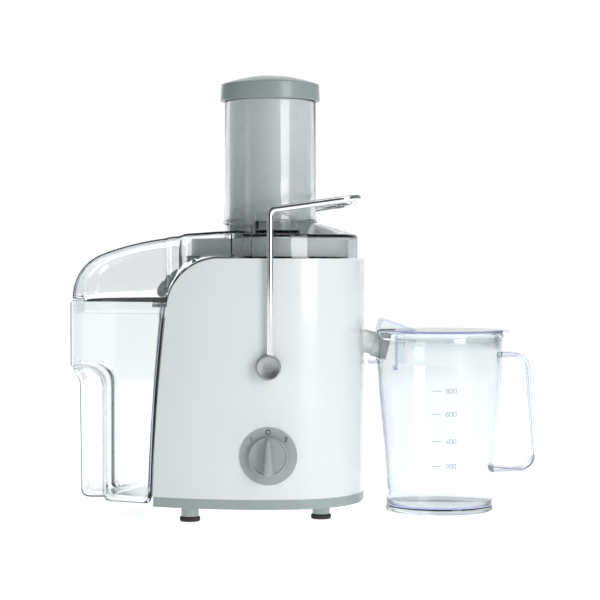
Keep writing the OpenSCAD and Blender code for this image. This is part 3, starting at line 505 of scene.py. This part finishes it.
def skirt_line(inset, xr):
    """Outline of the skirt that drops into the container, open towards the body at xr."""
    pts = [(xr, -bin_half(xr) + inset * 1.12), (-175 + inset, -bin_half(-175) + inset * 1.12),
           (-175 + inset, bin_half(-175) - inset * 1.12), (xr, bin_half(xr) - inset * 1.12)]
    return fillet(pts, [0, 12 - inset, 12 - inset, 0], 8)


outer, inner = skirt_line(3.5, -94.5), skirt_line(5.1, -94.5)
rings = []
for z, line in ((188.4, outer), (179.0, outer), (177.4, outer), (177.0, inner), (178.0, inner), (188.4, inner)):
    rings.append([(x, y, z + (0 if z > 185 else 4.5 * smooth((x + 96.5) / 5.5) ** 2)) for x, y in line])
v, f = grid(rings, loop_points=False, loop_rings=True)
skirt = mesh_piece("hood_skirt", v, f, CLEAR_LID, "base")
rings = []
for z, inset in ((187.6, 2.2), (188.0, 1.8), (188.6, 1.8), (188.8, 2.2), (188.8, 4.4), (187.6, 4.4)):
    rings.append([(x, y, z) for x, y in skirt_line(inset, -91.0)])
v, f = grid(rings, loop_points=False, loop_rings=True)
seam = mesh_piece("hood_seam", v, f, CLEAR_LID, "base")

# ---------------------------------------------------------------- pulp container
BIN_BASE, BIN_TOP = 13.6, 187.0


def body_left(z):
    return 1699.3 - math.sqrt(1800.0 ** 2 - (z + 37.0) ** 2)


def bin_outline(z, inset):
    """Outline of the container at height z, with the grip recess under its arch."""
    zc = max(z, BIN_BASE)
    left = -175.0 + 6.0 * smooth((129.0 - zc) / 14.0) + 1.0 * smooth((110.0 - zc) / 80.0) + inset
    right = body_left(zc) - 1.1 - inset
    rx = -145.0
    arch = 112.0
    if zc > arch:
        d = min(18.99, zc - arch)
        rx = -164.0 + math.sqrt(19.0 ** 2 - d * d)
    depth = 1.0 if zc < 131.0 else 0.0
    rx += inset if depth else 0
    wall = lambda x: bin_half(x) - inset * 1.12
    yc = lerp(wall(rx), 30.0 - inset, depth)
    ye = lerp(wall(left), 30.0 - inset, depth)
    pts = [(right, -wall(right)), (rx, -wall(rx)), (rx, -yc), (left, -ye), (left, ye), (rx, yc), (rx, wall(rx)),
           (right, wall(right))]
    # The middle of the wall next to the body is cut lower, so it has points at both ends of the cut.
    side = wall(right)
    high, low = min(76.3, side - 2.6), min(75.9, side - 2.9)
    pts += [(right, high), (right, low), (right, -low), (right, -high)]
    r_e = max(3.0, 11.0 - inset)
    k = 2.2
    line = fillet(pts, [2.0, k, k, r_e, r_e, k, k, 2.0, 0, 0, 0, 0], 6, closed=True)
    return line


def bin_ring(z, inset):
    ring = []
    for x, y in bin_outline(z, inset):
        top = BIN_TOP
        if x > body_left(min(z, 187)) - 4.6 and abs(y) < 76:
            top = 174.0
            x = min(x, body_left(top) - 1.1 - inset) if z > top else x
        ring.append((x, y, min(z, top)))
    return ring


wall_t = 2.4
levels = [30, 50, 75, 95, 105, 112, 115, 118, 121, 124, 126.5, 128.5, 129.8, 130.6, 130.95, 131.05,
          133, 140, 155, 170, 178, 183, 186.6]
rings = [bin_ring(BIN_BASE, 6.0)]
for k in range(1, 7):
    a = math.radians(15 * k)
    zz = BIN_BASE + 6 - 6 * math.cos(a)
    rings.append([(x, y, zz) for x, y, _ in bin_ring(zz, 6 - 6 * math.sin(a))])
rings += [bin_ring(z, 0.0) for z in levels]
rings.append(bin_ring(187.0, 0.4))
rings.append(bin_ring(187.0, 1.9))
rings += [bin_ring(z, wall_t) for z in reversed(levels)]
for k in range(6, 0, -1):
    a = math.radians(15 * k)
    zz = BIN_BASE + wall_t + 5 - 5 * math.cos(a)
    rings.append([(x, y, zz) for x, y, _ in bin_ring(zz, wall_t + 5 - 5 * math.sin(a))])
rings.append([(x, y, BIN_BASE + wall_t) for x, y, _ in bin_ring(BIN_BASE + wall_t, wall_t + 5.0)])
v, f = grid(rings, loop_points=True, cap_first=True, cap_last=True)
pulp_bin = mesh_piece("pulp_bin_shell", v, f, CLEAR_BIN, "pulp_bin", sharp=40)
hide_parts("pulp_container")
prof = [(0.01, 13.0), (2.2, 13.0), (2.6, 13.3), (2.6, 13.75), (0.01, 13.75)]
gate = lathe("bin_gate_mark", prof, CLEAR, "pulp_bin", at=(-132, 0), seg=24)

# ---------------------------------------------------------------- jug
JX = 152.0
JUG = [(47.3, 4.4), (47.4, 12), (48.3, 32), (50.2, 56), (52.8, 82), (55.2, 109), (56.0, 126), (56.2, 152.5)]


def notch(p):
    x, y, z = p
    if x < JX - 40 and abs(y) < 13.4:
        return (x, y, min(z, 134.4))
    return p


prof = fillet(
    [(45.4, 0.0), (48.1, 0.0), (48.1, 3.0)] + JUG + [(57.4, 154.6), (57.4, 158.9), (54.2, 158.9)]
    + [(r - 2.2, z) for r, z in reversed(JUG[1:])] + [(45.0, 6.2), (0.02, 6.2), (0.02, 2.8), (44.4, 2.8)],
    [0.8, 1.0, 1.4, 2.5] + [30] * 7 + [1.2, 1.2, 1.0] + [30] * 7 + [3.5, 0, 0, 1.2], 4, closed=True)
jug = lathe("jug_shell", prof, CLEAR, "juice_jug", at=(JX, 0), seg=160, turn=notch, sharp=40)
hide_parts("jug")

# Pouring lip below the notch.
prof = fillet([
    (87.6, 131.2), (99.0, 131.2), (99.0, 133.0), (89.4, 133.0), (88.6, 134.3), (87.6, 134.3)
], 0.4, 3, closed=True)
lip = extrude_y("jug_pouring_lip", prof, -13.0, 13.0, CLEAR, "juice_jug", 0.3)

# Strap handle, swept with a rounded flat section.
path = fillet([(207.6, 139.0), (229.8, 139.0), (237.3, 36.3), (199.8, 36.3)], [0, 12, 14, 0], 12)
dense = []
for i in range(len(path) - 1):
    a, b = Vector(path[i]), Vector(path[i + 1])
    n = max(1, int((b - a).length / 4))
    dense += [tuple(a.lerp(b, k / n)) for k in range(n)]
dense.append(path[-1])
rings = []
for i, (x, z) in enumerate(dense):
    a = Vector(dense[max(0, i - 1)])
    b = Vector(dense[min(len(dense) - 1, i + 1)])
    t = (b - a).normalized()
    nrm = Vector((t.y, -t.x))
    flare = 1.0 + 0.35 * (1 - smooth(min(i, len(dense) - 1 - i) / 4.0))
    half_w, half_t = 9.8, 1.95 * flare
    sec = fillet([(-half_w, -half_t), (half_w, -half_t), (half_w, half_t), (-half_w, half_t)], 1.5, 4, closed=True)
    rings.append([(x + nrm.x * q, p, z + nrm.y * q) for p, q in sec])
v, f = grid(rings, loop_points=True, cap_first=True, cap_last=True)
handle = mesh_piece("jug_handle_strap", v, f, CLEAR, "juice_jug", sharp=40)
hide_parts("jug_handle")

# Measuring marks on the front wall, with plain numbers.
DIGITS = {
    "0": [([(0.2, 0), (0.8, 0), (1, 0.3), (1, 1.3), (0.8, 1.6), (0.2, 1.6), (0, 1.3), (0, 0.3)], True)],
    "1": [([(0.25, 1.3), (0.6, 1.6), (0.6, 0)], False)],
    "2": [([(0, 1.3), (0.25, 1.6), (0.75, 1.6), (1, 1.3), (1, 0.95), (0, 0), (1, 0)], False)],
    "4": [([(0.75, 0), (0.75, 1.6), (0, 0.5), (1, 0.5)], False)],
    "6": [([(0.95, 1.45), (0.6, 1.6), (0.2, 1.4), (0, 0.9), (0, 0.3), (0.3, 0), (0.7, 0), (1, 0.3), (1, 0.6), (0.7, 0.9),
            (0.3, 0.9), (0, 0.6)], False)],
    "8": [([(0.3, 0.85), (0.05, 1.1), (0.05, 1.35), (0.3, 1.6), (0.7, 1.6), (0.95, 1.35), (0.95, 1.1), (0.7, 0.85),
            (1, 0.55), (1, 0.3), (0.7, 0), (0.3, 0), (0, 0.3), (0, 0.55)], True)],
}


def jug_radius(z):
    pts = [(48.1, 0.0)] + JUG
    for (r0, z0), (r1, z1) in zip(pts, pts[1:]):
        if z <= z1:
            return lerp(r0, r1, max(0.0, (z - z0) / (z1 - z0)))
    return pts[-1][0]


def on_jug(x, z, out=0.05):
    r = jug_radius(z) + out
    return (JX + x, -math.sqrt(r * r - x * x), z)


lines = []
for z, text in ((43, "200"), (65, "400"), (89, "600"), (109.5, "800")):
    lines.append(([on_jug(x, z) for x in (-10, -8, -6, -4, -2)], False))
    for i, ch in enumerate(text):
        for pts, loop in DIGITS[ch]:
            lines.append(([on_jug(2.0 + i * 3.4 + px * 2.4, z - 1.9 + pz * 2.4) for px, pz in pts], loop))
marks = strokes("jug_marks", lines, MARKB, "juice_jug", 0.3)

# ---------------------------------------------------------------- pusher
R_CAP, DOME_R = 44.5, 119.7
dome = [(R_CAP - 0.7, 380.5)] + [(r, 388.8 - DOME_R + math.sqrt(DOME_R ** 2 - r * r)) for r in (38, 31, 23, 14, 6, 0.02)]
prof = fillet([(37.0, 373.4), (37.0, 365.75), (R_CAP, 365.75)] + dome + [(0.02, 373.4)],
              [0, 0.5, 0.8, 0.7, 0, 0, 0, 0, 0, 0, 0], 5, closed=True)
cap = lathe("pusher_cap_dome", prof, CAP, "pusher", seg=128, sharp=40)
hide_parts("pusher_cap")
prof = fillet([
    (0.02, 192.0), (36.3, 192.0), (36.5, 373.2), (34.3, 373.2), (34.1, 195.0), (0.02, 195.0)
], [0, 2.5, 0.3, 0.3, 1.5, 0], 5, closed=True)
tube = lathe("pusher_body", prof, TUBE, "pusher", seg=128)
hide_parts("pusher_tube")

# ---------------------------------------------------------------- bail
PIV = 133.0
ARM = math.radians(8.0)
BAIL_Y, WIRE_R, LOOP_R = 108.5, 2.9, 16
kz, kr, kx = 261.5, 5.2, 1.5
half = [(kx, -BAIL_Y, PIV)] + [(kx, -BAIL_Y, PIV + (kz - PIV) * k / 12) for k in range(1, 12)]
for k in range(0, 13):
    a = lerp(math.pi, math.pi / 2 + ARM, k / 12)
    half.append((kx + kr + kr * math.cos(a), -BAIL_Y, kz + kr * math.sin(a)))
run = 60.2 - kx - kr + kr * math.sin(ARM)
ex, ez = 60.2, kz + kr * math.cos(ARM) + run * math.tan(ARM)
half.append((ex, -BAIL_Y, ez))
for k in range(1, 15):
    a = math.radians(-90 + 90 * k / 14)
    lx, ly = LOOP_R * math.cos(a), LOOP_R + LOOP_R * math.sin(a)
    half.append((ex + lx * math.cos(ARM), -BAIL_Y + ly, ez + lx * math.sin(ARM)))
whole = half + [(x, -y, z) for x, y, z in reversed(half)]
bail = strokes("bail_rod", [(whole, False)], CHROME, "bail", WIRE_R, 8)
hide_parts("bail_wire")
for s, tag in ((-1, "front"), (1, "rear")):
    prof = fillet([
        (0.02, 111.6), (4.5, 111.75), (8.9, 112.7), (9.5, 113.35), (10.1, 113.35), (10.75, 112.3), (10.75, 104.6),
        (5.0, 104.6), (5.0, 90.2), (0.02, 90.2)
    ], [0, 8, 0.3, 0.2, 0.4, 0.4, 0.3, 0.2, 0.4, 0], 4, closed=True)
    b = lathe_y("pivot_button_" + tag, prof, BUTTON, "bail", 0, PIV, s)
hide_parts("pivot_buttons")

# ---------------------------------------------------------------- dial marks and feet


def front(x, out=0.0):
    """Y of the bezel's curved face at x."""
    return 104.0 - math.sqrt((209.0 + out) ** 2 - (x + 5.0) ** 2)


lines = []
DZ = 57.5
for ang, ch in ((0, "0"), (-46, "1"), (46, "2")):
    cx, cz = 20.6 * math.sin(math.radians(ang)), DZ + 20.6 * math.cos(math.radians(ang))
    if ch == "0":
        turns = [math.tau * k / 20 for k in range(20)]
        pts = [(cx + 1.9 * math.cos(a), cz + 1.9 * math.sin(a)) for a in turns]
        lines.append(([(x, front(x, 0.34), z) for x, z in pts], True))
    else:
        for pts, loop in DIGITS[ch]:
            q = [(cx - 1.1 + px * 2.2, cz - 1.8 + pz * 2.25) for px, pz in pts]
            lines.append(([(x, front(x, 0.34), z) for x, z in q], loop))
dial_marks = strokes("dial_marks", lines, MARK, "base", 0.34)

# Knob: a thin disc with a raised rim and a teardrop grip.
prof = fillet([
    (3.05, 105.4), (16.6, 105.4), (16.6, 110.5), (15.6, 110.9), (14.9, 110.0), (3.05, 110.0)
], [0, 0.5, 0.5, 0.4, 0.4, 0], 4, closed=True)
disc = lathe_y("dial_disc", prof, DIALG, "speed_dial", 0, DZ)


def teardrop(inset, count=24):
    """Outline of the grip: a small round top and a wider round foot, joined by straight flanks."""
    r_top, r_foot, z_top, z_foot = 1.9 - inset * 0.4, 4.7 - inset, 13.9 - inset * 0.5, -11.3
    lean = math.asin((r_foot - r_top) / (z_top - z_foot))
    pts = []
    for k in range(count + 1):
        a = lerp(lean, math.pi - lean, k / count)
        pts.append((r_top * math.cos(a), z_top + r_top * math.sin(a)))
    for k in range(count + 1):
        a = lerp(math.pi - lean, math.tau + lean, k / count)
        pts.append((r_foot * math.cos(a), z_foot + r_foot * math.sin(a)))
    return pts


rings = []
GRIP = ((107.0, 0.0), (110.0, -0.4), (111.0, 0.0), (116.0, 0.45), (121.0, 0.9), (122.8, 1.3), (123.7, 2.0),
        (123.95, 2.9))
for depth, inset in GRIP:
    # The grip falls away towards its narrow end.
    slope = 0.16 if depth > 115 else 0
    rings.append([(x, -(depth - slope * max(0.0, z + 4)), DZ + z) for x, z in teardrop(inset)])
v, f = grid(rings, loop_points=True, cap_first=True, cap_last=True)
grip = mesh_piece("dial_grip", v, f, DIALG, "speed_dial", sharp=45)
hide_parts("dial_knob")

feet = []
for x, y in ((-67.5, -83), (-67.5, 83), (45, -66), (45, 66)):
    prof = fillet([
        (0.02, 0.0), (8.0, 0.0), (8.8, 1.2), (8.8, 3.2), (8.1, 4.3), (0.02, 4.3)
    ], [0, 0.8, 1.2, 1.2, 0.8, 0], 5, closed=True)
    name = "foot_pad_%d" % (len(feet) + 1)
    feet.append(lathe(name, prof, RUBBER, "base", at=(x, y), seg=48, sharp=60))
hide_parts("foot_pads")

# ---------------------------------------------------------------- studio
floor_m, nt, b = new_material("studio_floor")
nt.links.new(tone(nt, noise(nt, 1.5, 2), (0.93, 0.935, 0.94), (0.95, 0.955, 0.96)), b.inputs["Base Color"])
b.inputs["Roughness"].default_value = 0.7
b.inputs["Emission Color"].default_value = (1, 1, 1, 1)
b.inputs["Emission Strength"].default_value = 0.78
me = bpy.data.meshes.new("studio_floor")
S = 12.0
me.from_pydata([(-S, -S, 0), (S, -S, 0), (S, S, 0), (-S, S, 0)], [], [(0, 1, 2, 3)])
me.materials.append(floor_m)
floor = bpy.data.objects.new("studio_floor", me)
floor.location.z = -0.0002
bpy.context.scene.collection.objects.link(floor)

world = bpy.data.worlds.new("studio")
bpy.context.scene.world = world
world.use_nodes = True
nt = world.node_tree
bg = nt.nodes["Background"]
bg.inputs["Strength"].default_value = 0.62
# A bright backdrop behind the machine and a dimmer, slightly green room around it.
tc = nt.nodes.new("ShaderNodeTexCoord")
sep = nt.nodes.new("ShaderNodeSeparateXYZ")
nt.links.new(tc.outputs["Generated"], sep.inputs[0])
half_range = nt.nodes.new("ShaderNodeMapRange")
half_range.inputs["From Min"].default_value = -1.0
nt.links.new(sep.outputs["Y"], half_range.inputs["Value"])
ramp = nt.nodes.new("ShaderNodeValToRGB")
ramp.color_ramp.elements[0].position = 0.0
ramp.color_ramp.elements[0].color = (0.10, 0.115, 0.12, 1)
ramp.color_ramp.elements[1].position = 0.96
ramp.color_ramp.elements[1].color = (1.40, 1.41, 1.42, 1)
for at, tint in ((0.45, (0.30, 0.335, 0.335)), (0.86, (0.40, 0.44, 0.45))):
    e = ramp.color_ramp.elements.new(at)
    e.color = (*tint, 1)
nt.links.new(half_range.outputs["Result"], ramp.inputs["Fac"])
nt.links.new(ramp.outputs["Color"], bg.inputs["Color"])
white = nt.nodes.new("ShaderNodeBackground")
white.inputs["Color"].default_value = (1, 1, 1, 1)
white.inputs["Strength"].default_value = 1.02
lp = nt.nodes.new("ShaderNodeLightPath")
mix = nt.nodes.new("ShaderNodeMixShader")
nt.links.new(lp.outputs["Is Camera Ray"], mix.inputs["Fac"])
nt.links.new(bg.outputs[0], mix.inputs[1])
nt.links.new(white.outputs[0], mix.inputs[2])
nt.links.new(mix.outputs[0], nt.nodes["World Output"].inputs["Surface"])


def area(name, loc, target, w, h, power, color=(1, 1, 1)):
    li = bpy.data.lights.new(name, "AREA")
    li.shape = "RECTANGLE"
    li.size, li.size_y = w, h
    li.energy = power
    li.color = color
    ob = bpy.data.objects.new(name, li)
    ob.location = loc
    ob.rotation_mode = "QUATERNION"
    ob.rotation_quaternion = (Vector(target) - Vector(loc)).to_track_quat("-Z", "Y")
    bpy.context.scene.collection.objects.link(ob)
    return ob


area("key_softbox", (1.15, -1.45, 0.75), (0.0, 0.0, 0.2), 0.75, 1.3, 17)
area("top_softbox", (0.3, -0.3, 1.7), (0.0, 0.0, 0.2), 1.1, 1.1, 5)
area("left_softbox", (-1.6, -0.9, 0.6), (-0.05, 0.0, 0.2), 0.35, 1.2, 1.0)
area("back_softbox", (-0.5, 1.6, 0.9), (0.0, 0.0, 0.2), 1.4, 1.2, 4)

cam_data = bpy.data.cameras.new("camera")
cam_data.sensor_width = 36.0
cam_data.lens = 117.6
cam_data.clip_start = 0.05
cam_data.clip_end = 60.0
cam = bpy.data.objects.new("camera", cam_data)
cam.location = place(26.8, -1760.0, 222.0)
cam.rotation_euler = (math.radians(90 - 1.11), 0, 0)
bpy.context.scene.collection.objects.link(cam)
bpy.context.scene.camera = cam
bpy.context.scene.view_settings.view_transform = "Standard"
